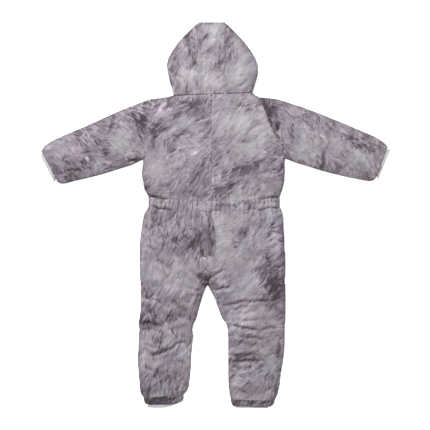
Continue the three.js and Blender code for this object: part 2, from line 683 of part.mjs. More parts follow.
// The zip runs from the neck to its pointed end, with its slider closed at the neck.
function plate(name, half, low, high) {
  const plan = [...half, ...[...half].reverse().map(([x, y]) => [-x, y])];
  const shape = new THREE.Shape(plan.map(([x, y]) => new THREE.Vector2(CENTRE_X + x, y)));
  const geometry = new THREE.ExtrudeGeometry(shape, { depth: high - low, bevelEnabled: false });
  geometry.translate(0, 0, low);
  const mesh = new THREE.Mesh(geometry, zip);
  mesh.name = name;
  return mesh;
}
const zipTape = () =>
  plate("zip_tape", [[ZIP.half, ZIP.top], [ZIP.half, ZIP.square], [0.5, ZIP.point]], ZIP.low, ZIP.high);
function zipSlider() {
  const { half, pullHalf, shoulder, top, low, high } = SLIDER;
  const plan = [[pullHalf, ZIP.top + SEAM_GAP], [pullHalf, shoulder], [half, shoulder], [half, top]];
  return plate("zip_slider", plan, low, high);
}

const bodyLeft = bodySections(SHOULDER_LEFT, ARMHOLE_LEFT, SIDE_LEFT);
const bodyRight = bodySections(SHOULDER_RIGHT, ARMHOLE_RIGHT, SIDE_RIGHT);
const backLeft = [...bodyLeft, section(waistTop(WAIST.left), 0, 1)];
const backRight = [...bodyRight, section(waistTop(WAIST.right), 0, 1)];

const suit = new THREE.Group();
suit.add(
  hoodCentre(),
  hoodSide("hood_side_left", hoodSections(HOOD_LEFT, STRIP.left), -1),
  hoodSide("hood_side_right", hoodSections(HOOD_RIGHT, STRIP.right), 1),
  backPiece("back_left", backLeft, PANEL, -1),
  backPiece("back_right", backRight, PANEL, 1),
  waistCasing(),
  backPiece("leg_back_left", legSections(LEG_LEFT, WAIST.left), LIMB, -1),
  backPiece("leg_back_right", legSections(LEG_RIGHT, WAIST.right), LIMB, 1),
  frontPiece("front_left", frontSections(bodyLeft, WAIST.left, LEG_LEFT), -1),
  frontPiece("front_right", frontSections(bodyRight, WAIST.right, LEG_RIGHT), 1),
  sleeve("sleeve_left", sleeveSections(ARMHOLE_LEFT, SLEEVE_LEFT), -1),
  sleeve("sleeve_right", sleeveSections(ARMHOLE_RIGHT, SLEEVE_RIGHT), 1),
  zipTape(),
  zipSlider(),
  band("ankle_casing_left", cloth, CASING_SIZE, ANKLE_CASING_LEFT),
  band("ankle_casing_right", cloth, CASING_SIZE, ANKLE_CASING_RIGHT),
  band("ankle_lining_left", trim, ANKLE_LINING_SIZE, ANKLE_LINING_LEFT),
  band("ankle_lining_right", trim, ANKLE_LINING_SIZE, ANKLE_LINING_RIGHT),
  band("wrist_lining_left", trim, WRIST_LINING_SIZE, WRIST_LINING_LEFT),
  band("wrist_lining_right", trim, WRIST_LINING_SIZE, WRIST_LINING_RIGHT),
);

export default suit;
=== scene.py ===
"""Dresses the laid-out toddler snowsuit: padded shell with a fur-like print, pale lining and a zip."""

import math

import bpy
import numpy as np
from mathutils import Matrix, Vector
from mathutils.bvhtree import BVHTree

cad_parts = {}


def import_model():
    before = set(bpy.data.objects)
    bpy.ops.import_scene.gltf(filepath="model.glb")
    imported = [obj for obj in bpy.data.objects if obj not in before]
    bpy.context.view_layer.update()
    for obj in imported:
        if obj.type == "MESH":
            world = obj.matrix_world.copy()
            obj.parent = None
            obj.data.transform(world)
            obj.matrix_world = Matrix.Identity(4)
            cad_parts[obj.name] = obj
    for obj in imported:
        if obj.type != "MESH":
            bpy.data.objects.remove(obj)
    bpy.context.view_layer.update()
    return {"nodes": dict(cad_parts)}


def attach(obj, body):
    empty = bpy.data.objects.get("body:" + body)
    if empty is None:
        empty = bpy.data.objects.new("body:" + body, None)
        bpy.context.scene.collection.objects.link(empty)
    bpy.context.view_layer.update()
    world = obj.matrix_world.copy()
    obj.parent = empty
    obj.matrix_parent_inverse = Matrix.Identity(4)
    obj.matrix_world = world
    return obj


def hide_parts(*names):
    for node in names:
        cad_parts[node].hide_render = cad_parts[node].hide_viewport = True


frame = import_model()
MM = 0.001

# How each solid becomes soft cloth: an even mesh, smoothed, then creased.
SHELL_VOXEL = 2.2 * MM
FLAT_VOXEL = 3.0 * MM
BAND_VOXEL = 1.3 * MM
TRIM_VOXEL = 0.8 * MM
SHELL_SMOOTHING = 6
BAND_SMOOTHING = 3


def table(columns, rows):
    """A list of rows that each give their values by column name."""
    names = columns.split()
    return [dict(zip(names, row)) for row in rows]


# Seams, in millimetres over the plan of the suit.
NECK = [(-101, 281), (88, 288)]
CENTRE_BACK = [(-8, 284.4), (-8, 31)]
CENTRE_SEAT = [(-8, 10), (-7, 0), (-3, -23), (0, -48), (3, -72), (1, -98), (-6, -129), (-13, -150)]
CENTRE_SEAT += [(-16, -159), (-18, -165)]
ARMHOLE_LEFT = [(-156, 281), (-155, 273), (-150.5, 237.25), (-151.5, 201.5), (-158, 165.75), (-170, 130)]
ARMHOLE_RIGHT = [(100.5, 286), (103, 278), (116.25, 241.5), (131, 205), (147.25, 168.5), (165, 132)]
STRIP_LEFT = [(-41, 283.2), (-41, 453.5)]
STRIP_RIGHT = [(24, 285.6), (24, 453.5)]
WAIST_TOP = [(-158, 44), (-120.5, 38.3), (-83, 34.25), (-45.5, 31.8), (-8, 31)]
WAIST_TOP += [(32.1, 31.8), (72.25, 34.25), (112.4, 38.3), (152.5, 44)]
WAIST_LOW = [(-158, 20), (-120.5, 15.6), (-83, 12.5), (-45.5, 10.6), (-8, 10)]
WAIST_LOW += [(32.1, 10.6), (72.25, 12.5), (112.4, 15.6), (152.5, 20)]
ANKLE_LEFT = [(-168, -430), (-75, -423)]
ANKLE_RIGHT = [(36, -434), (139, -437)]
PUCKERED = [NECK, CENTRE_BACK, CENTRE_SEAT, ARMHOLE_LEFT, ARMHOLE_RIGHT, STRIP_LEFT, STRIP_RIGHT]
PLUMP = [CENTRE_BACK, CENTRE_SEAT, ARMHOLE_LEFT, ARMHOLE_RIGHT, STRIP_LEFT, STRIP_RIGHT]
PLUMP += [WAIST_TOP, WAIST_LOW]

# The seams that each piece is sewn along.
SEWN = {
    "hood_centre": [NECK, STRIP_LEFT, STRIP_RIGHT],
    "hood_side_left": [NECK, STRIP_LEFT],
    "hood_side_right": [NECK, STRIP_RIGHT],
    "back_left": [NECK, CENTRE_BACK, ARMHOLE_LEFT, WAIST_TOP],
    "back_right": [NECK, CENTRE_BACK, ARMHOLE_RIGHT, WAIST_TOP],
    "waist_casing_back": [WAIST_TOP, WAIST_LOW],
    "leg_back_left": [WAIST_LOW, CENTRE_SEAT, ANKLE_LEFT],
    "leg_back_right": [WAIST_LOW, CENTRE_SEAT, ANKLE_RIGHT],
    "front_left": [NECK, ARMHOLE_LEFT, ANKLE_LEFT],
    "front_right": [NECK, ARMHOLE_RIGHT, ANKLE_RIGHT],
    "sleeve_left": [ARMHOLE_LEFT],
    "sleeve_right": [ARMHOLE_RIGHT],
    "ankle_casing_left": [ANKLE_LEFT],
    "ankle_casing_right": [ANKLE_RIGHT],
}

# Creases in the padding, over the folds that the solids have: each is a trough from one point to
# another that bows at its middle, with a soft ridge on both sides. Below 0 it is a hump instead.
CREASES = table(
    "x0 y0 x1 y1 bow depth reach",
    [
        (-154, -196, -110, -222, 2, 1.2, 3.0),
        (-111, -202, -62, -230, 3, 2.0, 3.8),
        (-176, -188, -120, -204, -6, 1.2, 4.0),
        (-181, -258, -118, -262, 2, 2.6, 4.0),
        (-124, -262, -48, -256, 2, -2.2, 9.0),
        (-176, -270, -112, -282, 4, 1.2, 3.5),
        (-158, -332, -82, -301, -3, 2.8, 4.0),
        (-96, -306, -58, -306, 4, 1.4, 3.6),
        (-174, -301, -134, -316, -2, 1.1, 3.0),
        (-146, -386, -118, -352, 2, 1.7, 3.6),
        (-176, -360, -140, -372, 3, 1.0, 3.5),
        (-92, -338, -62, -366, 3, 1.2, 3.5),
        (-92, -416, -74, -380, -3, 1.2, 3.5),
        (10, -213, 152, -202, 4, 1.9, 3.2),
        (40, -232, 110, -218, -4, 0.9, 4.0),
        (34, -262, 110, -276, 3, 2.0, 3.8),
        (104, -274, 152, -268, 3, 1.3, 3.6),
        (36, -277, 126, -292, -5, 1.5, 3.4),
        (44, -256, 140, -246, 4, 0.9, 4.0),
        (32, -330, 98, -324, -5, 2.2, 4.0),
        (32, -346, 116, -344, 2, 1.8, 3.6),
        (34, -358, 88, -359, -2, 1.5, 3.4),
        (148, -296, 153, -320, 1, 1.6, 3.2),
        (150, -402, 134, -420, -1, 1.4, 3.2),
        (46, -407, 78, -424, 2, 1.1, 3.2),
        (-241, 235, -248, 186, 1, 2.2, 3.4),
        (-276, 184, -252, 118, 5, 1.8, 4.0),
        (-262, 226, -264, 190, 2, 0.9, 3.4),
        (-196, 234, -152, 180, -5, 2.6, 3.6),
        (-186, 250, -153, 211, -3, 2.1, 3.4),
        (-199, 247, -190, 226, 1, 1.3, 3.2),
        (-212, 240, -206, 220, 1, 1.0, 3.2),
        (-330, 186, -300, 128, 5, 1.2, 4.0),
        (-356, 104, -312, 101, 2, 1.6, 3.4),
        (-206, 122, -180, 132, 2, 1.8, 3.4),
        (258, 152, 254, 104, 2, 2.6, 3.8),
        (246, 205, 260, 158, -3, 1.3, 4.0),
        (303, 108, 329, 127, 1, 1.3, 2.8),
        (318, 188, 322, 152, 2, 1.6, 3.6),
        (280, 128, 298, 106, -2, 1.6, 3.6),
        (118, 262, 128, 214, 3, 2.2, 3.8),
        (140, 250, 146, 190, 4, 1.6, 3.6),
        (176, 204, 188, 172, 2, 1.4, 3.4),
        (168, 136, 158, 160, 2, 1.6, 3.4),
        (-62, 404, -44, 342, 2, 2.8, 4.0),
        (48, 392, 34, 352, -2, 1.2, 3.5),
        (-92, 330, -66, 300, 3, 1.3, 4.0),
        (78, 322, 52, 300, 3, 1.2, 4.0),
        (-152, 210, -128, 206, 2, 1.6, 3.4),
        (-152, 186, -122, 198, 2, 1.6, 3.4),
        (-148, 172, -92, 212, 4, 1.4, 5.0),
        (120, 212, 76, 196, -4, 1.2, 4.0),
        (150, 112, 92, 98, 4, 1.4, 5.0),
        (160, 122, 148, 96, 2, 1.8, 3.6),
        (-118, 250, -60, 262, 3, 1.0, 5.0),
        (84, 256, 30, 264, 3, 1.0, 5.0),
        (-150, -6, -128, -64, 3, 1.8, 4.5),
        (140, -8, 122, -58, 3, 1.8, 4.5),
        (-172, -76, -140, -88, 4, 1.3, 4.0),
        (160, -60, 132, -78, 4, 1.3, 4.5),
        (-150, -108, -96, -134, 5, 1.2, 5.0),
        (140, -104, 84, -132, 5, 1.2, 5.0),
        (-24, -150, -64, -126, 4, 1.6, 4.0),
        (-12, -152, 30, -130, 4, 1.6, 4.0),
        (-34, -158, -16, -154, 2, 1.8, 3.0),
        (-30, -178, -74, -168, 3, 1.6, 4.0),
        (-158, 44, -108, 36, 0, 2.2, 3.2),
        (-160, 20, -96, 12, 0, 2.2, 3.4),
        (154, 44, 100, 37, 0, 2.0, 3.2),
        (154, 20, 96, 12, 0, 1.8, 3.4),
        (-152, 262, -140, 232, 2, 1.6, 3.4),
        (-128, 268, -136, 240, 2, 1.0, 3.6),
        (-6, -180, 40, -172, 3, 1.6, 4.0),
    ],
)


# Whole numbers that scatter the directions at the corners of the noise's cells.
SCATTER_X = 374761393
SCATTER_Y = 668265263
SCATTER_SEED = 1274126177
SCATTER_AGAIN = 1103515245
LOW_BITS = 0xFFFFFFFF
NOISE_GAIN = 1.5


def eased(share):
    """A share that leaves 0 and reaches 1 with no kink in its bend."""
    return share * share * share * (share * (share * 6 - 15) + 10)


def perlin(x, y, seed):
    """Smooth noise from about -1 to 1 over a grid of unit cells."""
    x0 = np.floor(x).astype(np.int64)
    y0 = np.floor(y).astype(np.int64)
    fx = x - x0
    fy = y - y0

    def corner(i, j):
        mixed = ((x0 + i) * SCATTER_X + (y0 + j) * SCATTER_Y + seed * SCATTER_SEED) & LOW_BITS
        mixed = ((mixed ^ (mixed >> 13)) * SCATTER_AGAIN) & LOW_BITS
        turn = (mixed ^ (mixed >> 16)) / LOW_BITS * 2 * math.pi
        return np.cos(turn) * (fx - i) + np.sin(turn) * (fy - j)

    ease_x, ease_y = eased(fx), eased(fy)
    low = corner(0, 0) * (1 - ease_x) + corner(1, 0) * ease_x
    high = corner(0, 1) * (1 - ease_x) + corner(1, 1) * ease_x
    return (low * (1 - ease_y) + high * ease_y) * NOISE_GAIN


def lumpy(x, y, size, seed):
    """Noise with lumps of one size, in millimetres."""
    return perlin(x / size, y / size, seed)


def smooth_step(value, low, high):
    """A share that eases from 0 at the low value to 1 at the high one."""
    share = np.clip((value - low) / (high - low), 0, 1)
    return share * share * (3 - 2 * share)


FAR = 1e9
TINY = 1e-6


def to_chain(x, y, chain):
    """Distance of each point to a chain of points, how far along it the point lies and the way there."""
    nearest = np.full(x.shape, FAR)
    travelled = np.zeros(x.shape)
    to_x = np.zeros(x.shape)
    to_y = np.zeros(x.shape)
    start = 0.0
    for (ax, ay), (bx, by) in zip(chain, chain[1:]):
        length = math.hypot(bx - ax, by - ay)
        share = ((x - ax) * (bx - ax) + (y - ay) * (by - ay)) / length**2
        share = np.clip(share, 0, 1)
        off_x = ax + share * (bx - ax) - x
        off_y = ay + share * (by - ay) - y
        gap = np.hypot(off_x, off_y)
        closer = gap < nearest
        nearest = np.where(closer, gap, nearest)
        travelled = np.where(closer, start + share * length, travelled)
        to_x = np.where(closer, off_x, to_x)
        to_y = np.where(closer, off_y, to_y)
        start += length
    return nearest, travelled, to_x, to_y


CREASE_GAIN = 2.4
CREASE_END = 0.25  # share of a crease's length over which it fades at each end
CREASE_MIDDLE = 0.75  # share of its depth about which a crease's own one changes
# What changes along a crease: how far it strays in long and in short waves, in millimetres, and the
# share of its depth. Each starts from one of the crease's own numbers, so that no two look alike.
STRAY_LONG, STRAY_SHORT, DEPTH_CHANGE = table(
    "most wave start spread seed",
    [(4.5, 36, "x0", 31, 11), (1.3, 11, "y0", 29, 13), (0.5, 30, "x1", 27, 15)],
)
# A crease's section, in shares of its reach, and the height of its ridges as a share of its depth.
TROUGH_WIDTH = 0.8
RIDGE_OFF = 2.2
RIDGE_WIDTH = 1.4
RIDGE_HEIGHT = 0.6


def along_crease(crease, travelled, change):
    """One of the changes along a crease."""
    start = np.full(travelled.shape, crease[change["start"]] / change["spread"])
    return change["most"] * perlin(travelled / change["wave"], start, change["seed"])


def crease_height(x, y, crease):
    """Height of one crease: its trough is below 0 and its ridges are above."""
    dx = crease["x1"] - crease["x0"]
    dy = crease["y1"] - crease["y0"]
    length = math.hypot(dx, dy)
    share = ((x - crease["x0"]) * dx + (y - crease["y0"]) * dy) / length**2
    within = np.clip(share, 0, 1)
    travelled = within * length
    aside = ((y - crease["y0"]) * dx - (x - crease["x0"]) * dy) / length
    stray = along_crease(crease, travelled, STRAY_LONG) + along_crease(crease, travelled, STRAY_SHORT)
    off = aside - crease["bow"] * 4 * within * (1 - within) - stray
    fade = smooth_step(np.minimum(share, 1 - share), 0, CREASE_END)
    fade *= CREASE_MIDDLE + along_crease(crease, travelled, DEPTH_CHANGE)
    reach = crease["reach"]
    trough = np.exp(-((off / (TROUGH_WIDTH * reach)) ** 2))
    ridge = np.exp(-(((np.abs(off) - RIDGE_OFF * reach) / (RIDGE_WIDTH * reach)) ** 2))
    return CREASE_GAIN * crease["depth"] * fade * (RIDGE_HEIGHT * ridge - trough)


# How uneven the waves along a seam are: by how many waves they slip, over what length and width in
# millimetres, and about what middle height they vary, by how much and over what length and width.
PUCKER_WAVES, GATHER_WAVES = table(
    "slip slip_long slip_wide slip_seed middle varied long wide seed",
    [
        (0.9, 25, 18, 31, 0.55, 0.45, 40, math.inf, 53),
        (0.8, 34, 45, 71, 0.60, 0.70, 26, 60, 83),
    ],
)


def seam_waves(travelled, gap, spacing, kind, index):
    """Uneven waves along the seam of that index, from about -1 to 1."""
    slip = perlin(travelled / kind["slip_long"], gap / kind["slip_wide"], kind["slip_seed"] + index)
    varied = perlin(travelled / kind["long"], gap / kind["wide"], kind["seed"] + index)
    phase = travelled / spacing + kind["slip"] * slip
    return (kind["middle"] + kind["varied"] * varied) * np.sin(2 * math.pi * phase)


PUCKER_SPACING = 8.5
PUCKER_DEPTH = 0.5
PUCKER_REACH = 9


def pucker_height(x, y):
    """Short ripples that the sewing draws up across each seam."""
    height = np.zeros(x.shape)
    for index, seam in enumerate(PUCKERED):
        gap, travelled, _, _ = to_chain(x, y, seam)
        waves = seam_waves(travelled, gap, PUCKER_SPACING, PUCKER_WAVES, index)
        height += PUCKER_DEPTH * waves * np.exp(-gap / PUCKER_REACH)
    return height


PLUMP_HEIGHT = 3.2
PLUMP_REACH = 16


def plump_height(x, y):
    """Padding that fills the valley at a plain seam."""
    height = np.zeros(x.shape)
    for seam in PLUMP:
        gap = to_chain(x, y, seam)[0]
        height = np.maximum(height, PLUMP_HEIGHT * np.clip(1 - gap / PLUMP_REACH, 0, 1) ** 2)
    return height


# Gathers along the elastic casings: how far apart they are, how far they reach and how deep they are.
GATHERS = table(
    "chain spacing reach depth",
    [
        (WAIST_TOP, 11.0, 26.0, 1.7),
        (WAIST_LOW, 11.0, 26.0, 1.7),
        (ANKLE_LEFT, 8.5, 17.0, 1.5),
        (ANKLE_RIGHT, 8.5, 17.0, 1.5),
    ],
)
GATHER_LEAST = 0.35  # share of its depth that a gather has right at its seam
GATHER_FULL_FROM = 7  # millimetres from the seam at which it has all of it


def gather_height(x, y):
    """Folds that fan out above and below an elastic casing."""
    height = np.zeros(x.shape)
    for index, row in enumerate(GATHERS):
        gap, travelled, _, _ = to_chain(x, y, row["chain"])
        waves = seam_waves(travelled, gap, row["spacing"], GATHER_WAVES, index)
        share = GATHER_LEAST + (1 - GATHER_LEAST) * smooth_step(gap, 0, GATHER_FULL_FROM)
        height += row["depth"] * waves * share * np.exp(-gap / row["reach"])
    return height


# Lumps of the padding, and its long drags, which run from upper left to lower right.
LUMPS = table("size height seed", [(62, 2.2, 3), (27, 1.5, 5), (9, 0.3, 7)])
DRAG_HEIGHT = 0.9
DRAG_LONG = 46
DRAG_WIDE = 13
DRAG_SLACK = 10
DRAG_SLACK_SIZE = 50


def puff_height(x, y):
    """The padding's own unevenness, from broad lumps to small dimples."""
    slack_x = x + DRAG_SLACK * lumpy(x, y, DRAG_SLACK_SIZE, 8)
    height = DRAG_HEIGHT * perlin((slack_x + y) / DRAG_LONG, (slack_x - y) / DRAG_WIDE, 9)
    for lump in LUMPS:
        height += lump["height"] * lumpy(x, y, lump["size"], lump["seed"])
    return height


WRINKLE_DEPTH = 1.0
WRINKLE_LONG = 38
WRINKLE_WIDE = 15
WRINKLE_NARROWNESS = 9
WRINKLED_SIZE = 55  # size of the wrinkled places, and values of their noise over which they set in
WRINKLED = (-0.05, 0.3)
SLEEVE_START = (165, 200)  # millimetres from the middle over which the body gives way to a sleeve


def wrinkle_height(x, y):
    """Thin wrinkles, across the legs and the body and round the sleeves, in places only."""
    on_sleeve = smooth_step(np.abs(x), *SLEEVE_START)
    height = np.zeros(x.shape)
    lying = (1 - on_sleeve, WRINKLE_LONG, WRINKLE_WIDE)
    standing = (on_sleeve, WRINKLE_WIDE, WRINKLE_LONG)
    for share, long, wide in (lying, standing):
        level = perlin((x + 0.3 * y) / long, (y - 0.2 * x) / wide, 91)
        height -= share * np.clip(1 - WRINKLE_NARROWNESS * np.abs(level), 0, 1) ** 1.5
    return WRINKLE_DEPTH * height * smooth_step(lumpy(x, y, WRINKLED_SIZE, 95), *WRINKLED)


def vectors_of(items, name):
    """A named vector of each vertex, one row each."""
    values = np.empty(len(items) * 3)
    items.foreach_get(name, values)
    return values.reshape(-1, 3)


def points_of(mesh):
    """The place of each vertex, in metres."""
    return vectors_of(mesh.vertices, "co")


def move_points(mesh, co):
    """Moves the vertices to those places."""
    mesh.vertices.foreach_set("co", co.ravel())
    mesh.update()


SEAM_NEAR = 1.5  # millimetres from a seam between which smoothing grows to its full strength
SEAM_FAR = 8
HELD_AT_SEAM = 0.2
SMOOTHING_PULL = 0.5


def relaxed(mesh, rounds, sewn):
    """Smooths a mesh in place, least at its seams."""
    co = points_of(mesh)
    edges = np.empty(len(mesh.edges) * 2, dtype=np.int64)
    mesh.edges.foreach_get("vertices", edges)
    start, end = edges.reshape(-1, 2).T
    count = len(co)
    degree = np.bincount(start, minlength=count) + np.bincount(end, minlength=count)
    x, y, _ = (co / MM).T
    nearest = np.full(count, FAR)
    for seam in sewn:
        nearest = np.minimum(nearest, to_chain(x, y, seam)[0])
    free = HELD_AT_SEAM + (1 - HELD_AT_SEAM) * smooth_step(nearest, SEAM_NEAR, SEAM_FAR)
    pull = SMOOTHING_PULL * free
    for _ in range(rounds):
        for axis in range(3):
            values = co[:, axis]
            total = np.bincount(start, values[end], count) + np.bincount(end, values[start], count)
            co[:, axis] = values + pull * (total / degree - values)
    move_points(mesh, co)


# Millimetres that stay between a piece and its seam line: on the back layer, at its neck and low down.
SEAM_CLEAR = 0.12
NECK_CLEAR = 0.9
LOW_CLEAR = 0.03
LOW_TO = 12
SEAM_REACH = 9.0
SEAM_PULL = 2.3


def drawn_together(mesh, sewn):
    """Draws the edges of a piece to its seams, which the even mesh has rounded away."""
    co = points_of(mesh)
    for seam in sewn:
        x, y, z = (co / MM).T
        nearest, _, to_x, to_y = to_chain(x, y, seam)
        high_clear = NECK_CLEAR if seam is NECK else SEAM_CLEAR
        clear = np.where(z > LOW_TO, high_clear, LOW_CLEAR)
        move = np.minimum(SEAM_PULL * np.clip(1 - nearest / SEAM_REACH, 0, 1), nearest - clear)
        step = np.clip(move, 0, None) / np.maximum(nearest, TINY)
        co[:, 0] += to_x * step * MM
        co[:, 1] += to_y * step * MM
    move_points(mesh, co)


DEEP_TROUGH = -2.0  # millimetres below the cloth from which a trough is looked at
WALL_LEFT = 1.6  # millimetres of a wall that stay under a trough
SKIN = 0.3  # millimetres below the outside at which the look through the wall begins


def hold_in_wall(mesh, co, normals, height):
    """Stops troughs short of the inner side of their own wall, in place."""
    tree = BVHTree.FromPolygons(co.tolist(), [tuple(face.vertices) for face in mesh.polygons])
    for index in np.flatnonzero(height < DEEP_TROUGH):
        inward = -Vector(normals[index])
        thickness = tree.ray_cast(Vector(co[index]) + SKIN * MM * inward, inward)[3]
        if thickness is not None:
            height[index] = max(height[index], min(WALL_LEFT - thickness / MM, 0))


# Heights in millimetres over which the back layer, the hollow and the side that lies down set in, and
# how far up or down a face has to look there.
BACK_HEIGHTS = (15, 20)
BACK_LOOKS_UP = (0.05, 0.7)
HOLLOW_HEIGHTS = (10, 12)
HOLLOW_LOOKS_DOWN = (0.4, 0.7)
GROUND_HEIGHTS = (1, 3)
GROUND_LOOKS_DOWN = (0.5, 0.9)

# Dents of the side that lies down: a middle depth, round ones and long ones, as shares of the depth.
DENT_DEPTH = 1.8
DENT_MIDDLE = 0.4
DENT_MOST = 1.5
DENT_SIZE = 44
LONG_DENT = 0.5
LONG_DENT_LONG = 60
LONG_DENT_WIDE = 17


def dent_height(x, y):
    """How far the side that lies down is pushed up, in places."""
    dent = DENT_MIDDLE + lumpy(x, y, DENT_SIZE, 91)
    dent += LONG_DENT * perlin((x + y) / LONG_DENT_LONG, (x - y) / LONG_DENT_WIDE, 93)
    return DENT_DEPTH * np.clip(dent, 0, DENT_MOST)


def creased(mesh):
    """Moves the back layer's outside up and down, and dents the side that lies down.

    Gives back the height of the creases alone, and where the cloth faces its hollow.
    """
    co = points_of(mesh)
    normals = vectors_of(mesh.vertex_normals, "vector")
    x, y, z = (co / MM).T
    upward = normals[:, 2]
    outside = smooth_step(upward, *BACK_LOOKS_UP) * smooth_step(z, *BACK_HEIGHTS)
    inside = smooth_step(-upward, *HOLLOW_LOOKS_DOWN) * smooth_step(z, *HOLLOW_HEIGHTS)
    below = smooth_step(-upward, *GROUND_LOOKS_DOWN) * (1 - smooth_step(z, *GROUND_HEIGHTS))
    height = puff_height(x, y) + wrinkle_height(x, y)
    height += pucker_height(x, y) + plump_height(x, y) + gather_height(x, y)
    folds = np.zeros(x.shape)
    for crease in CREASES:
        folds += crease_height(x, y, crease)
    height = (height + folds) * outside
    hold_in_wall(mesh, co, normals, height)
    co += normals * (height * MM)[:, None]
    co[:, 2] += dent_height(x, y) * below * MM
    move_points(mesh, co)
    return folds * outside, inside


# The print on each cut piece: two angles at which its hair lies in turns, in degrees from +X, the
# place on the roll that the piece was cut from, so that it breaks off at the seams, and how pale it is.
PRINT = table(
    "piece angle second shift tone",
    [
        ("hood_centre", 52, 80, 0, -0.01),
        ("hood_side_left", 66, 95, 310, 0.0),
        ("hood_side_right", 50, 70, 640, 0.0),
        ("back_left", 34, 58, 920, -0.04),
        ("back_right", 26, 50, 1270, 0.0),
        ("waist_casing_back", 80, 62, 1600, 0.0),
        ("leg_back_left", 84, 66, 1930, 0.02),
        ("leg_back_right", 46, 28, 2250, 0.03),
        ("front_left", 64, 40, 2570, 0.0),
        ("front_right", 50, 75, 2890, 0.0),
        ("sleeve_left", -14, -46, 3210, -0.04),
        ("sleeve_right", -62, -35, 3530, 0.02),
        ("ankle_casing_left", 60, 85, 1930, -0.06),
        ("ankle_casing_right", 45, 70, 2250, -0.06),
    ],
)

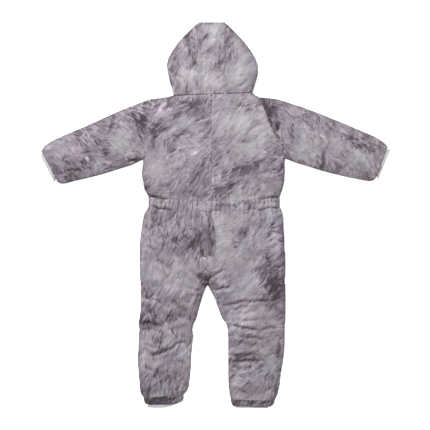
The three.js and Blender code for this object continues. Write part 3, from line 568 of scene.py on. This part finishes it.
# Broad pale and dark patches on each piece, most of them the print's own and some painted shadow, as
# marked:
# centre, half length along its angle, half width across it, angle in degrees and how much lighter (or
# darker, below 0) it is.
PATCHES = table(
    "piece x y long wide angle tone",
    [
        ("hood_centre", -5, 424, 26, 14, 45, 0.20),
        ("hood_centre", -12, 376, 24, 14, 20, 0.12),
        ("hood_centre", -30, 414, 14, 6, 60, -0.34),
        ("hood_centre", 12, 354, 16, 6, 0, -0.20),
        ("hood_centre", -8, 316, 34, 26, 0, 0.20),
        ("hood_side_left", -50, 366, 9, 30, 8, -0.26),
        ("hood_side_left", -50, 336, 20, 16, 0, 0.20),
        ("hood_side_left", -94, 345, 12, 18, 20, -0.14),
        ("hood_side_left", -66, 318, 34, 20, 20, 0.18),
        ("hood_side_left", -82, 402, 44, 9, 50, -0.20),
        ("hood_side_right", 54, 334, 46, 34, 20, 0.22),
        ("hood_side_right", 70, 396, 30, 8, -50, -0.10),
        ("hood_side_right", 34, 408, 24, 8, 85, -0.14),
        ("back_left", -46, 264, 44, 20, 12, -0.20),
        ("back_left", -24, 222, 12, 26, 0, -0.12),
        ("back_left", -76, 214, 34, 8, 28, 0.14),
        ("back_left", -80, 236, 28, 6, 15, -0.26),
        ("back_left", -150, 262, 18, 14, 0, -0.20),
        ("back_left", -80, 192, 26, 6, 35, -0.28),
        ("back_left", -88, 109, 15, 5, 20, -0.24),
        ("back_left", -60, 150, 60, 30, 40, 0.10),
        ("back_left", -132, 116, 24, 18, 20, 0.10),
        ("back_left", -114, 70, 22, 10, 35, -0.28),
        ("back_left", -146, 196, 12, 26, 0, -0.22),
        ("back_right", 60, 228, 62, 36, -10, 0.23),
        ("back_right", 88, 162, 44, 20, 28, 0.22),
        ("back_right", 66, 104, 52, 17, 12, -0.28),
        ("back_right", 20, 64, 24, 11, 20, -0.34),
        ("back_right", 158, 118, 12, 18, 0, -0.36),
        ("back_right", 100, 262, 12, 12, 0, -0.16),
        ("back_right", 104, 219, 15, 5, 15, -0.20),
        ("back_right", 46, 42, 30, 10, 0, 0.08),
        ("waist_casing_back", -140, 32, 22, 12, 0, 0.10),
        ("waist_casing_back", 122, 30, 22, 12, 0, 0.12),
        ("leg_back_left", -90, -40, 90, 74, 0, -0.08),
        ("leg_back_left", -140, -16, 34, 22, 20, -0.08),
        ("leg_back_left", -44, -78, 44, 44, 80, -0.17),
        ("leg_back_left", -10, -36, 32, 7, 90, -0.24),
        ("leg_back_left", -90, -126, 30, 20, 20, 0.22),
        # Painted shadow in the deep fold at the crotch.
        ("leg_back_left", -24, -153, 15, 13, 80, -0.75),
        ("leg_back_left", -42, -186, 14, 12, 60, -0.22),
        ("leg_back_left", -158, -248, 30, 20, 10, -0.42),
        ("leg_back_left", -84, -240, 36, 9, 15, -0.18),
        ("leg_back_left", -74, -266, 26, 12, 0, 0.14),
        ("leg_back_left", -128, -364, 42, 12, 45, -0.20),
        ("leg_back_left", -118, -404, 20, 16, 0, 0.10),
        ("leg_back_right", 12, -42, 48, 17, -80, 0.27),
        # Painted shadow in the deep fold at the crotch.
        ("leg_back_right", -6, -158, 12, 16, 90, -0.40),
        ("leg_back_right", 70, -44, 46, 14, 40, -0.20),
        ("leg_back_right", 72, -150, 44, 30, 30, 0.12),
        ("leg_back_right", 120, -106, 28, 9, 80, -0.24),
        ("leg_back_right", 140, -228, 18, 14, 85, -0.16),
        ("leg_back_right", 149, -330, 24, 6, 88, -0.24),
        ("leg_back_right", 138, -166, 48, 30, 88, -0.50),
        ("leg_back_right", 100, -236, 60, 16, 8, 0.12),
        ("leg_back_right", 60, -292, 36, 12, -10, -0.12),
        ("leg_back_right", 70, -332, 46, 14, 8, -0.20),
        ("leg_back_right", 84, -376, 34, 16, 20, 0.12),
        ("sleeve_left", -172, 226, 40, 20, -55, -0.20),
        ("sleeve_left", -186, 128, 18, 8, 10, -0.34),
        ("sleeve_left", -222, 164, 40, 22, -8, 0.12),
        ("sleeve_left", -308, 160, 26, 12, -20, -0.16),
        ("sleeve_left", -288, 122, 22, 9, -20, -0.12),
        ("sleeve_left", -336, 100, 38, 8, 8, -0.20),
        ("sleeve_left", -340, 138, 40, 20, 10, 0.06),
        ("sleeve_left", -192, 226, 26, 6, -60, -0.10),
        # Painted shadow of the creases at the right armhole.
        ("sleeve_right", 124, 252, 22, 30, 15, -0.48),
        ("sleeve_right", 134, 214, 9, 24, 15, -0.20),
        ("sleeve_right", 180, 190, 26, 9, -65, -0.14),
        ("sleeve_right", 160, 142, 12, 12, 0, -0.18),
        ("sleeve_right", 206, 168, 26, 18, -60, 0.10),
        ("sleeve_right", 254, 124, 26, 8, 85, -0.18),
        ("sleeve_right", 284, 190, 26, 12, 80, 0.10),
        ("sleeve_right", 320, 178, 18, 8, 80, -0.18),
        ("sleeve_right", 290, 114, 18, 12, -30, -0.16),
        ("sleeve_right", 364, 152, 20, 9, -40, -0.12),
        ("sleeve_right", 146, 194, 8, 34, 18, -0.14),
        ("sleeve_right", 250, 190, 40, 22, -30, 0.08),
        ("sleeve_right", 338, 132, 26, 10, -20, 0.12),
        ("ankle_casing_left", -145, -437, 30, 12, 0, -0.32),
        # Painted shadow along the ankle seam.
        ("ankle_casing_left", -124, -431, 46, 4, 4, -0.30),
        ("ankle_casing_right", 62, -443, 34, 12, 0, -0.20),
        # Painted shadow along the ankle seam.
        ("ankle_casing_right", 88, -437, 50, 4, -2, -0.28),
    ],
)

BROAD_SHADES = table("size tone seed", [(85, 0.10, 17), (38, 0.08, 19)])

# Millimetres that the edge of a patch strays: its half width and a little, but no more than the most.
STRAY_BEYOND = 2
MOST_STRAY = 12
STRAY_SIZE = 24


def broad_tone(x, y, piece):
    """How much lighter or darker than its middle grey the print is, with the painted shadow of some of
    the patches.
    """
    tone = np.zeros(x.shape)
    for shade in BROAD_SHADES:
        tone += shade["tone"] * lumpy(x, y, shade["size"], shade["seed"])
    for patch in PATCHES:
        if patch["piece"] != piece:
            continue
        turn = math.radians(patch["angle"])
        stray = min(MOST_STRAY, STRAY_BEYOND + patch["wide"])
        dx = x - patch["x"] + stray * lumpy(x, y, STRAY_SIZE, 23)
        dy = y - patch["y"] + stray * lumpy(x, y, STRAY_SIZE, 29)
        along = (dx * math.cos(turn) + dy * math.sin(turn)) / patch["long"]
        across = (dy * math.cos(turn) - dx * math.sin(turn)) / patch["wide"]
        tone += patch["tone"] * np.exp(-(along**2 + across**2))
    return tone


BEND = 7  # millimetres by which the hair bends aside, and over what length
BEND_SIZE = 90
SHIFT_PER_LAYER = 7  # parts the pieces in the noise's third direction too


def combed(x, y, degrees, shift, seed):
    """Coordinates along and across the hair of the print, bent a little as long fur lies."""
    turn = math.radians(degrees)
    bent_x = x + BEND * lumpy(x, y, BEND_SIZE, seed)
    bent_y = y + BEND * lumpy(x, y, BEND_SIZE, seed + 1)
    along = bent_x * math.cos(turn) + bent_y * math.sin(turn)
    across = bent_y * math.cos(turn) - bent_x * math.sin(turn)
    return np.stack([along + shift, across, np.full(x.shape, shift / SHIFT_PER_LAYER)], axis=1)


# Heights in millimetres over which the rounded rim of the back sets in, and over which it gives way to
# the top, and how much darker it is painted: painted shade where the rim rounds away from the light.
RIM_START = (8, 13)
RIM_END = (14, 22.5)
RIM_PAINTED_SHADE = -0.12
# Painted shade in the creases, where less light reaches.
FOLD_PAINTED_SHADE = 0.036  # how much darker a crease is for each millimetre of its depth
DEEPEST_SHADED_FOLD = -6
UNDERSIDE_TO = 9  # height below which the cloth is cut from another place of the roll
UNDERSIDE_SHIFT = 60


def printed(mesh, row, folds, inside):
    """Stores where each point of the cloth lies in the print, and its broad tone, with painted shade on
    the rounded rim and in the creases.
    """
    co = points_of(mesh)
    x, y, z = (co / MM).T
    for name, degrees, seed in (("comb", row["angle"], 41), ("comb_second", row["second"], 61)):
        places = combed(x, y, degrees, row["shift"], seed)
        places[:, 2] += np.where(z < UNDERSIDE_TO, UNDERSIDE_SHIFT, 0)
        attribute = mesh.attributes.new(name, "FLOAT_VECTOR", "POINT")
        attribute.data.foreach_set("vector", places.astype(np.float32).ravel())
    # Painted shade on the rounded rim, which turns away from the light.
    rim = (1 - smooth_step(z, *RIM_END)) * smooth_step(z, *RIM_START)
    tone = row["tone"] + broad_tone(x, y, row["piece"]) + RIM_PAINTED_SHADE * rim
    # Painted shade in the creases, darker where a crease is deeper.
    tone += FOLD_PAINTED_SHADE * np.clip(folds, DEEPEST_SHADED_FOLD, 0)
    in_hood = row["piece"].startswith("hood")
    for name, values in (("tone", tone), ("rim", rim), ("inside", inside * in_hood)):
        attribute = mesh.attributes.new(name, "FLOAT", "POINT")
        attribute.data.foreach_set("value", values.astype(np.float32))


def linked(name, data):
    """A new object in the scene."""
    thing = bpy.data.objects.new(name, data)
    bpy.context.scene.collection.objects.link(thing)
    return thing


def soft_copy(node, voxel, smoothing):
    """A node's solid as an evenly meshed, softened piece."""
    piece = linked(node + "_cloth", frame["nodes"][node].data.copy())
    even = piece.modifiers.new("even", "REMESH")
    even.mode = "VOXEL"
    even.voxel_size = voxel
    graph = bpy.context.evaluated_depsgraph_get()
    mesh = bpy.data.meshes.new_from_object(piece.evaluated_get(graph))
    piece.modifiers.clear()
    piece.data = mesh
    mesh.materials.clear()
    mesh.polygons.foreach_set("use_smooth", np.ones(len(mesh.polygons), dtype=bool))
    relaxed(mesh, smoothing, SEWN.get(node, []))
    drawn_together(mesh, SEWN.get(node, []))
    return piece


class Nodes:
    """A material's node tree, with short calls for the nodes that it uses."""

    def __init__(self, name):
        self.material = bpy.data.materials.new(name)
        self.material.use_nodes = True
        self.tree = self.material.node_tree
        self.shader = self.tree.nodes["Principled BSDF"]

    def add(self, kind, **settings):
        node = self.tree.nodes.new("ShaderNode" + kind)
        for key, value in settings.items():
            setattr(node, key, value)
        return node

    def put(self, socket, value):
        if isinstance(value, bpy.types.NodeSocket):
            self.tree.links.new(value, socket)
        else:
            socket.default_value = value

    def put_all(self, node, values):
        for name, value in values.items():
            self.put(node.inputs[name], value)

    def math(self, operation, first, second=0.0, third=0.0):
        node = self.add("Math", operation=operation)
        for socket, value in zip(node.inputs, (first, second, third)):
            self.put(socket, value)
        return node.outputs[0]

    def attribute(self, name, output="Vector"):
        return self.add("Attribute", attribute_name=name).outputs[output]

    def place(self):
        return self.add("TexCoord").outputs["Object"]

    def vector(self, operation, *values):
        node = self.add("VectorMath", operation=operation)
        for socket, value in zip(node.inputs, values):
            self.put(socket, value)
        return node.outputs[0]

    def stretched(self, vector, along, across, shift=0.0):
        return self.vector("MULTIPLY_ADD", vector, (1 / along, 1 / across, 1.0), (shift, shift, shift))

    def noise(self, vector, scale=1.0, detail=2.0, roughness=0.5, distortion=0.0, output="Fac"):
        node = self.add("TexNoise")
        values = {"Vector": vector, "Scale": scale, "Detail": detail}
        self.put_all(node, {**values, "Roughness": roughness, "Distortion": distortion})
        return node.outputs[output]

    def range(self, value, low, high, new_low=0.0, new_high=1.0):
        node = self.add("MapRange")
        for socket, item in zip(node.inputs, (value, low, high, new_low, new_high)):
            self.put(socket, item)
        return node.outputs[0]

    def mix(self, share, first, second, blend="MIX"):
        node = self.add("Mix", data_type="RGBA", blend_type=blend)
        self.put(node.inputs["Factor"], share)
        self.put(node.inputs[6], first)
        self.put(node.inputs[7], second)
        return node.outputs[2]

    def ramp(self, value, stops):
        node = self.add("ValToRGB")
        elements = node.color_ramp.elements
        while len(elements) < len(stops):
            elements.new(0.5)
        for element, (place, color) in zip(elements, stops):
            element.position = place
            element.color = color
        self.put(node.inputs[0], value)
        return node.outputs[0]

    def bump(self, height, strength, distance):
        node = self.add("Bump")
        self.put_all(node, {"Strength": strength, "Distance": distance, "Height": height})
        self.put(self.shader.inputs["Normal"], node.outputs[0])


def srgb(red, green, blue):
    """A colour from its 0 to 255 screen values, as the renderer's linear one."""
    channels = [c / 255 for c in (red, green, blue)]
    linear = [c / 12.92 if c <= 0.04045 else ((c + 0.055) / 1.055) ** 2.4 for c in channels]
    return (*linear, 1.0)


TUFT_SWAY = 1.1  # how far a tuft's edge strays, as a share of its size
TUFT_TURN = 0.9  # radians by which the lie of the tufts varies
TUFT_SHADE = 0.20
TIP_SHADE = 0.16


def tufts(nodes, comb, shift, long, wide):
    """Clumps of hair: each lies its own way, has its own shade and grows paler to its tip."""
    place = nodes.stretched(comb, long, wide, shift)
    sway = nodes.noise(place, scale=1.6, output="Color")
    swayed = nodes.vector("MULTIPLY_ADD", sway, (TUFT_SWAY, TUFT_SWAY, 0.0), place)
    cell = nodes.add("TexVoronoi", voronoi_dimensions="2D")
    nodes.put_all(cell, {"Vector": swayed, "Scale": 1.0})
    random = nodes.add("SeparateColor")
    nodes.put(random.inputs[0], cell.outputs["Color"])
    to_tip = nodes.add("SeparateXYZ")
    nodes.put(to_tip.inputs[0], nodes.vector("SUBTRACT", swayed, cell.outputs["Position"]))
    turned = nodes.add("VectorRotate", rotation_type="Z_AXIS")
    angle = nodes.math("MULTIPLY_ADD", random.outputs[0], TUFT_TURN, -TUFT_TURN / 2)
    nodes.put_all(turned, {"Vector": comb, "Angle": angle})
    shade = nodes.math("MULTIPLY_ADD", random.outputs[1], TUFT_SHADE, -TUFT_SHADE / 2)
    shade = nodes.math("MULTIPLY_ADD", to_tip.outputs["X"], TIP_SHADE, shade)
    return turned.outputs[0], shade


def strands(nodes, comb, long, wide, gain, shift):
    """Fine hair that lies everywhere."""
    value = nodes.noise(nodes.stretched(comb, long, wide, shift), distortion=0.2)
    return nodes.math("MULTIPLY_ADD", value, gain, -gain / 2)


def gashes(nodes, comb, long, wide, gain, shift):
    """Narrow strokes that are there only in places."""
    value = nodes.noise(nodes.stretched(comb, long, wide, shift), detail=1.5)
    return nodes.range(value, 0.58, 0.72, 0.0, gain)


# Strokes over the tufts, each along the hair of the large or the small ones. Sizes in millimetres.
STROKES = table(
    "stroke tuft long wide gain shift",
    [
        (strands, "large", 30, 5.4, 0.64, 3),
        (strands, "small", 18, 3.0, 0.42, 7),
        (gashes, "large", 28, 5.2, -0.40, 11),
        (gashes, "small", 20, 3.2, -0.22, 17),
        (gashes, "small", 28, 3.2, 0.26, 15),
    ],
)
LARGE_TUFT = (52, 24)
SMALL_TUFT = (24, 10)
SMALL_SHADE = 0.75


def hair_value(nodes, comb, shift):
    """Shade of the printed fur about its middle grey: large and small tufts, strands, gaps and tips."""
    large, large_shade = tufts(nodes, comb, shift, *LARGE_TUFT)
    small, small_shade = tufts(nodes, comb, shift + 40, *SMALL_TUFT)
    value = nodes.math("MULTIPLY_ADD", small_shade, SMALL_SHADE, large_shade)
    for row in STROKES:
        lie = large if row["tuft"] == "large" else small
        shade = row["stroke"](nodes, lie, row["long"], row["wide"], row["gain"], row["shift"])
        value = nodes.math("ADD", value, shade)
    return value


MIDDLE_VALUE = 0.55

# Greys of the print, from its darkest hair to its palest tip, by the value that each stands for.
GREYS = [(0.05, 70), (0.30, 112), (0.55, 151), (0.78, 180), (1.00, 210)]

# Tints, as linear shares of the grey that they colour.
MAUVE = (1.06, 0.91, 1.045, 1.0)
DEEP_MAUVE = (1.11, 0.87, 1.10, 1.0)
BLUISH = (1.01, 0.925, 1.065, 1.0)
PALE = (0.985, 0.96, 1.005, 1.0)

LINING_COLOR = srgb(204, 201, 202)

# Noises that change the print from place to place: their length and width in millimetres, and a shift.
LIE_PLACES = (60, 40, 77)
CALM_PLACES = (70, 45, 31)
HUE_PLACES = (80, 60, 5)
COOL_PLACES = (70, 60, 15)
GRAIN = (3.0, 2.4, 0.28, 19)

# Ranges of those noises, of the tone or of the value, and what they stand for where it isn't 0 to 1.
SECOND_LIE = (0.47, 0.53)
DARK_CONTRAST = (0.25, 0.85, 0.42, 1.50)
CALM_CONTRAST = (0.42, 0.60, 1.12, 0.65)
TURNS_BLUISH = (0.50, 0.62)
LEAVES_MAUVE = (0.15, 0.60)
TURNS_BARE = (0.50, 0.64)
BARE_TONE = (-0.05, 0.12)
PALE_TONE = (0.07, 0.20, 0.0, 0.85)
MOST_BARE = 0.9


def fur_value(nodes, comb, second, tone):
    """How light the print is. Its hair has most contrast where it is dark."""
    places = nodes.stretched(comb, *LIE_PLACES)
    lie = nodes.noise(places, detail=3.0, roughness=0.6, distortion=0.6)
    hair = nodes.add("Mix", data_type="FLOAT")
    nodes.put(hair.inputs["Factor"], nodes.range(lie, *SECOND_LIE))
    nodes.put(hair.inputs[2], hair_value(nodes, comb, 0.0))
    nodes.put(hair.inputs[3], hair_value(nodes, second, 50.0))
    contrast = nodes.range(nodes.math("MULTIPLY_ADD", tone, -1.0, 0.5), *DARK_CONTRAST)
    calm = nodes.noise(nodes.stretched(comb, *CALM_PLACES), detail=1.5)
    contrast = nodes.math("MULTIPLY", contrast, nodes.range(calm, *CALM_CONTRAST))
    value = nodes.math("MULTIPLY_ADD", hair.outputs[0], contrast, MIDDLE_VALUE)
    value = nodes.math("ADD", value, tone)
    return nodes.math("ADD", value, strands(nodes, comb, *GRAIN))


def fur_tint(nodes, comb, tone, value):
    """Tint of the print's grey: mauve or bluish, deeper where it is dark and little where it is pale,
    and greyer at the rounded rim as a painted reflection.
    """
    hue = nodes.noise(nodes.stretched(comb, *HUE_PLACES))
    cool = nodes.noise(nodes.stretched(comb, *COOL_PLACES), detail=1.0)
    tint = nodes.mix(nodes.range(cool, *TURNS_BLUISH), MAUVE, BLUISH)
    tint = nodes.mix(nodes.range(value, *LEAVES_MAUVE), DEEP_MAUVE, tint)
    bare = nodes.math("MULTIPLY", nodes.range(hue, *TURNS_BARE), nodes.range(tone, *BARE_TONE))
    bare = nodes.math("MAXIMUM", bare, nodes.range(tone, *PALE_TONE))
    # The rim turns the tint greyer too: a painted reflection of the pale surroundings.
    bare = nodes.math("MAXIMUM", bare, nodes.attribute("rim", "Fac"))
    return nodes.mix(nodes.math("MULTIPLY", bare, MOST_BARE), tint, PALE)


CRINKLE_SCALE = 140.0
WEAVE_SCALE = 900.0
WEAVE_SHARE = 0.08
PILE_SCALE = 520.0
# Strength and height of the relief that is too fine to be meshed.
CRINKLE_BUMP = (0.3, 1.6 * MM)
PILE_BUMP = (0.6, 0.8 * MM)


def fur_print():
    """The printed shell cloth, with fine crinkles that are too small to be meshed."""
    nodes = Nodes("printed_shell")
    comb = nodes.attribute("comb")
    tone = nodes.attribute("tone", "Fac")
    value = fur_value(nodes, comb, nodes.attribute("comb_second"), tone)
    grey = nodes.ramp(value, [(place, srgb(level, level, level)) for place, level in GREYS])
    color = nodes.mix(1.0, grey, fur_tint(nodes, comb, tone, value), blend="MULTIPLY")
    lined = nodes.mix(nodes.attribute("inside", "Fac"), color, LINING_COLOR)
    nodes.put_all(nodes.shader, {"Base Color": lined, "Roughness": 0.6})
    nodes.put_all(nodes.shader, {"Sheen Weight": 0.05, "Specular IOR Level": 0.25})
    crinkle = nodes.noise(nodes.place(), CRINKLE_SCALE, detail=4.0, roughness=0.6, distortion=0.6)
    weave = nodes.noise(nodes.place(), WEAVE_SCALE)
    nodes.bump(nodes.math("MULTIPLY_ADD", weave, WEAVE_SHARE, crinkle), *CRINKLE_BUMP)
    return nodes.material


def fleece():
    """The pale lining, with its short uneven pile."""
    nodes = Nodes("pale_fleece")
    pile = nodes.noise(nodes.place(), PILE_SCALE, detail=3.0, roughness=0.6)
    color = nodes.mix(nodes.range(pile, 0.35, 0.65), srgb(188, 185, 186), srgb(216, 213, 214))
    nodes.put_all(nodes.shader, {"Base Color": color, "Roughness": 0.95})
    nodes.bump(pile, *PILE_BUMP)
    return nodes.material


def plain(name, color, roughness):
    """A material of one colour."""
    nodes = Nodes(name)
    nodes.put_all(nodes.shader, {"Base Color": color, "Roughness": roughness})
    return nodes.material


def dressed(piece, node, material):
    """Gives a piece its material, and has it stand for its node."""
    piece.data.materials.append(material)
    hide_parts(node)
    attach(piece, "root")


# The padded pieces of the shell.
SHELL = fur_print()
FRONTS = ("front_left", "front_right")
CASINGS = ("waist_casing_back", "ankle_casing_left", "ankle_casing_right")
for row in PRINT:
    node = row["piece"]
    voxel = FLAT_VOXEL if node in FRONTS else BAND_VOXEL if node in CASINGS else SHELL_VOXEL
    cloth = soft_copy(node, voxel, BAND_SMOOTHING if node in CASINGS else SHELL_SMOOTHING)
    folds, inside = creased(cloth.data)
    printed(cloth.data, row, folds, inside)
    dressed(cloth, node, SHELL)

# The pale lining, where it shows at the hems: width round the tube and length, in millimetres.
LINING = table(
    "node around length",
    [
        ("ankle_lining_left", 156, 20),
        ("ankle_lining_right", 168, 15.5),
        ("wrist_lining_left", 150, 16),
        ("wrist_lining_right", 152, 16),
    ],
)
FLEECE = fleece()
# Millimetres by which the pile rises, and places in millimetres over which it does so: down from the
# ankle hems, out from the wrist hems and up from the surface. Then how far the left ankle's hangs out.
PILE_RISE = 3.0
ANKLE_HEM = (442, 449)
WRIST_HEM = (374, 384)
PILE_HEIGHTS = (9, 14)
LEFT_ANKLE_DROP = 2.0
DROP_FROM = (445, 450)
DROP_SIDE = (0, 60)


def fluffed(mesh):
    """Raises the pile where the lining leaves its hem, and lets the left ankle's hang out further."""
    co = points_of(mesh)
    x, y, z = (co / MM).T
    from_hem = np.maximum(smooth_step(-y, *ANKLE_HEM), smooth_step(np.abs(x), *WRIST_HEM))
    co[:, 2] += PILE_RISE * from_hem * smooth_step(z, *PILE_HEIGHTS) * MM
    co[:, 1] -= LEFT_ANKLE_DROP * smooth_step(-y, *DROP_FROM) * smooth_step(-x, *DROP_SIDE) * MM
    move_points(mesh, co)


for row in LINING:
    trim = soft_copy(row["node"], TRIM_VOXEL, BAND_SMOOTHING)
    fluffed(trim.data)
    dressed(trim, row["node"], FLEECE)

# The zip's tape and slider keep their solids' form.
ZIP_PLASTIC = plain("zip_plastic", srgb(96, 90, 96), 0.45)
for node in ("zip_tape", "zip_slider"):
    piece = linked(node + "_piece", frame["nodes"][node].data.copy())
    piece.data.materials.clear()
    dressed(piece, node, ZIP_PLASTIC)

# The zip's teeth, in millimetres: half their width and length, and where their row begins and ends.
TOOTH_PITCH = 3.2
TOOTH_HALF = (1.5, 0.75)
TOOTH_OFFSET = 0.7
TEETH_FROM = -96
TEETH_TO = 243
TEETH_LOW = 0.1
TEETH_HIGH = 0.5
BOX_FACES = ((3, 2, 1, 0), (4, 5, 6, 7), (0, 1, 5, 4), (1, 2, 6, 5), (2, 3, 7, 6), (3, 0, 4, 7))


def zip_teeth():
    """The closed teeth of the zip, just below its tape, from its two sides in turn."""
    tape = points_of(frame["nodes"]["zip_tape"].data)[:, 0] / MM
    middle = (tape.min() + tape.max()) / 2
    corners, faces = [], []
    for index in range(int((TEETH_TO - TEETH_FROM) / TOOTH_PITCH)):
        x = middle + (TOOTH_OFFSET if index % 2 else -TOOTH_OFFSET)
        y = TEETH_FROM + index * TOOTH_PITCH
        first = len(corners)
        for z in (TEETH_LOW, TEETH_HIGH):
            for side, end in ((-1, -1), (1, -1), (1, 1), (-1, 1)):
                corner = (x + side * TOOTH_HALF[0], y + end * TOOTH_HALF[1], z)
                corners.append([c * MM for c in corner])
        faces += [[first + corner for corner in face] for face in BOX_FACES]
    mesh = bpy.data.meshes.new("zip_teeth")
    mesh.from_pydata(corners, [], faces)
    mesh.materials.append(plain("zip_teeth_plastic", srgb(60, 56, 61), 0.35))
    teeth = linked("zip_teeth", mesh)
    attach(teeth, "root")


zip_teeth()

# Studio: a pale floor that runs out of sight, soft light and a camera straight above.
PHOTO_SIDE_PX = 430
MM_PER_PX = 2.35
VIEW_SIDE = PHOTO_SIDE_PX * MM_PER_PX * MM
CAMERA_PLACE = (-0.8 * MM, 0.2 * MM, 3.0)
FLOOR_SIDE = 30
FLOOR_DROP = 0.4 * MM
FLOOR_COLOR = (0.9, 0.9, 0.9, 1)
FLOOR_GLOW = 0.8
WHITE = (1, 1, 1, 1)
SKY_STRENGTH = 0.3

# Soft lights, in metres and watts.
LIGHTS = table(
    "name place size watts",
    [
        ("key", (-0.9, 1.4, 1.8), 0.9, 50),
        ("fill", (0.9, -0.5, 2.4), 1.8, 11),
    ],
)


def floor():
    """A floor that shines a little, so that it looks as white as the photo's ground."""
    bpy.ops.mesh.primitive_plane_add(size=FLOOR_SIDE, location=(0, 0, -FLOOR_DROP))
    plane = bpy.context.object
    plane.name = "floor"
    nodes = Nodes("floor_white")
    nodes.put_all(nodes.shader, {"Base Color": FLOOR_COLOR, "Roughness": 1.0, "Specular IOR Level": 0.0})
    nodes.put_all(nodes.shader, {"Emission Color": WHITE, "Emission Strength": FLOOR_GLOW})
    plane.data.materials.append(nodes.material)
    plane.visible_diffuse = False


def area_light(name, place, size, watts):
    """A square light that looks at the suit's middle."""
    data = bpy.data.lights.new(name, "AREA")
    data.size = size
    data.energy = watts
    lamp = linked(name, data)
    lamp.location = place
    lamp.rotation_euler = (-lamp.location).to_track_quat("-Z", "Y").to_euler()


def camera():
    """The view straight down, with no perspective."""
    data = bpy.data.cameras.new("camera")
    data.type = "ORTHO"
    data.ortho_scale = VIEW_SIDE
    eye = linked("camera", data)
    eye.location = CAMERA_PLACE
    bpy.context.scene.camera = eye


def world():
    """Even light from all round."""
    sky = bpy.data.worlds.new("studio")
    sky.use_nodes = True
    background = sky.node_tree.nodes["Background"]
    background.inputs["Color"].default_value = WHITE
    background.inputs["Strength"].default_value = SKY_STRENGTH
    bpy.context.scene.world = sky


floor()
for light in LIGHTS:
    area_light(**light)
camera()
world()
bpy.context.scene.view_settings.view_transform = "Standard"
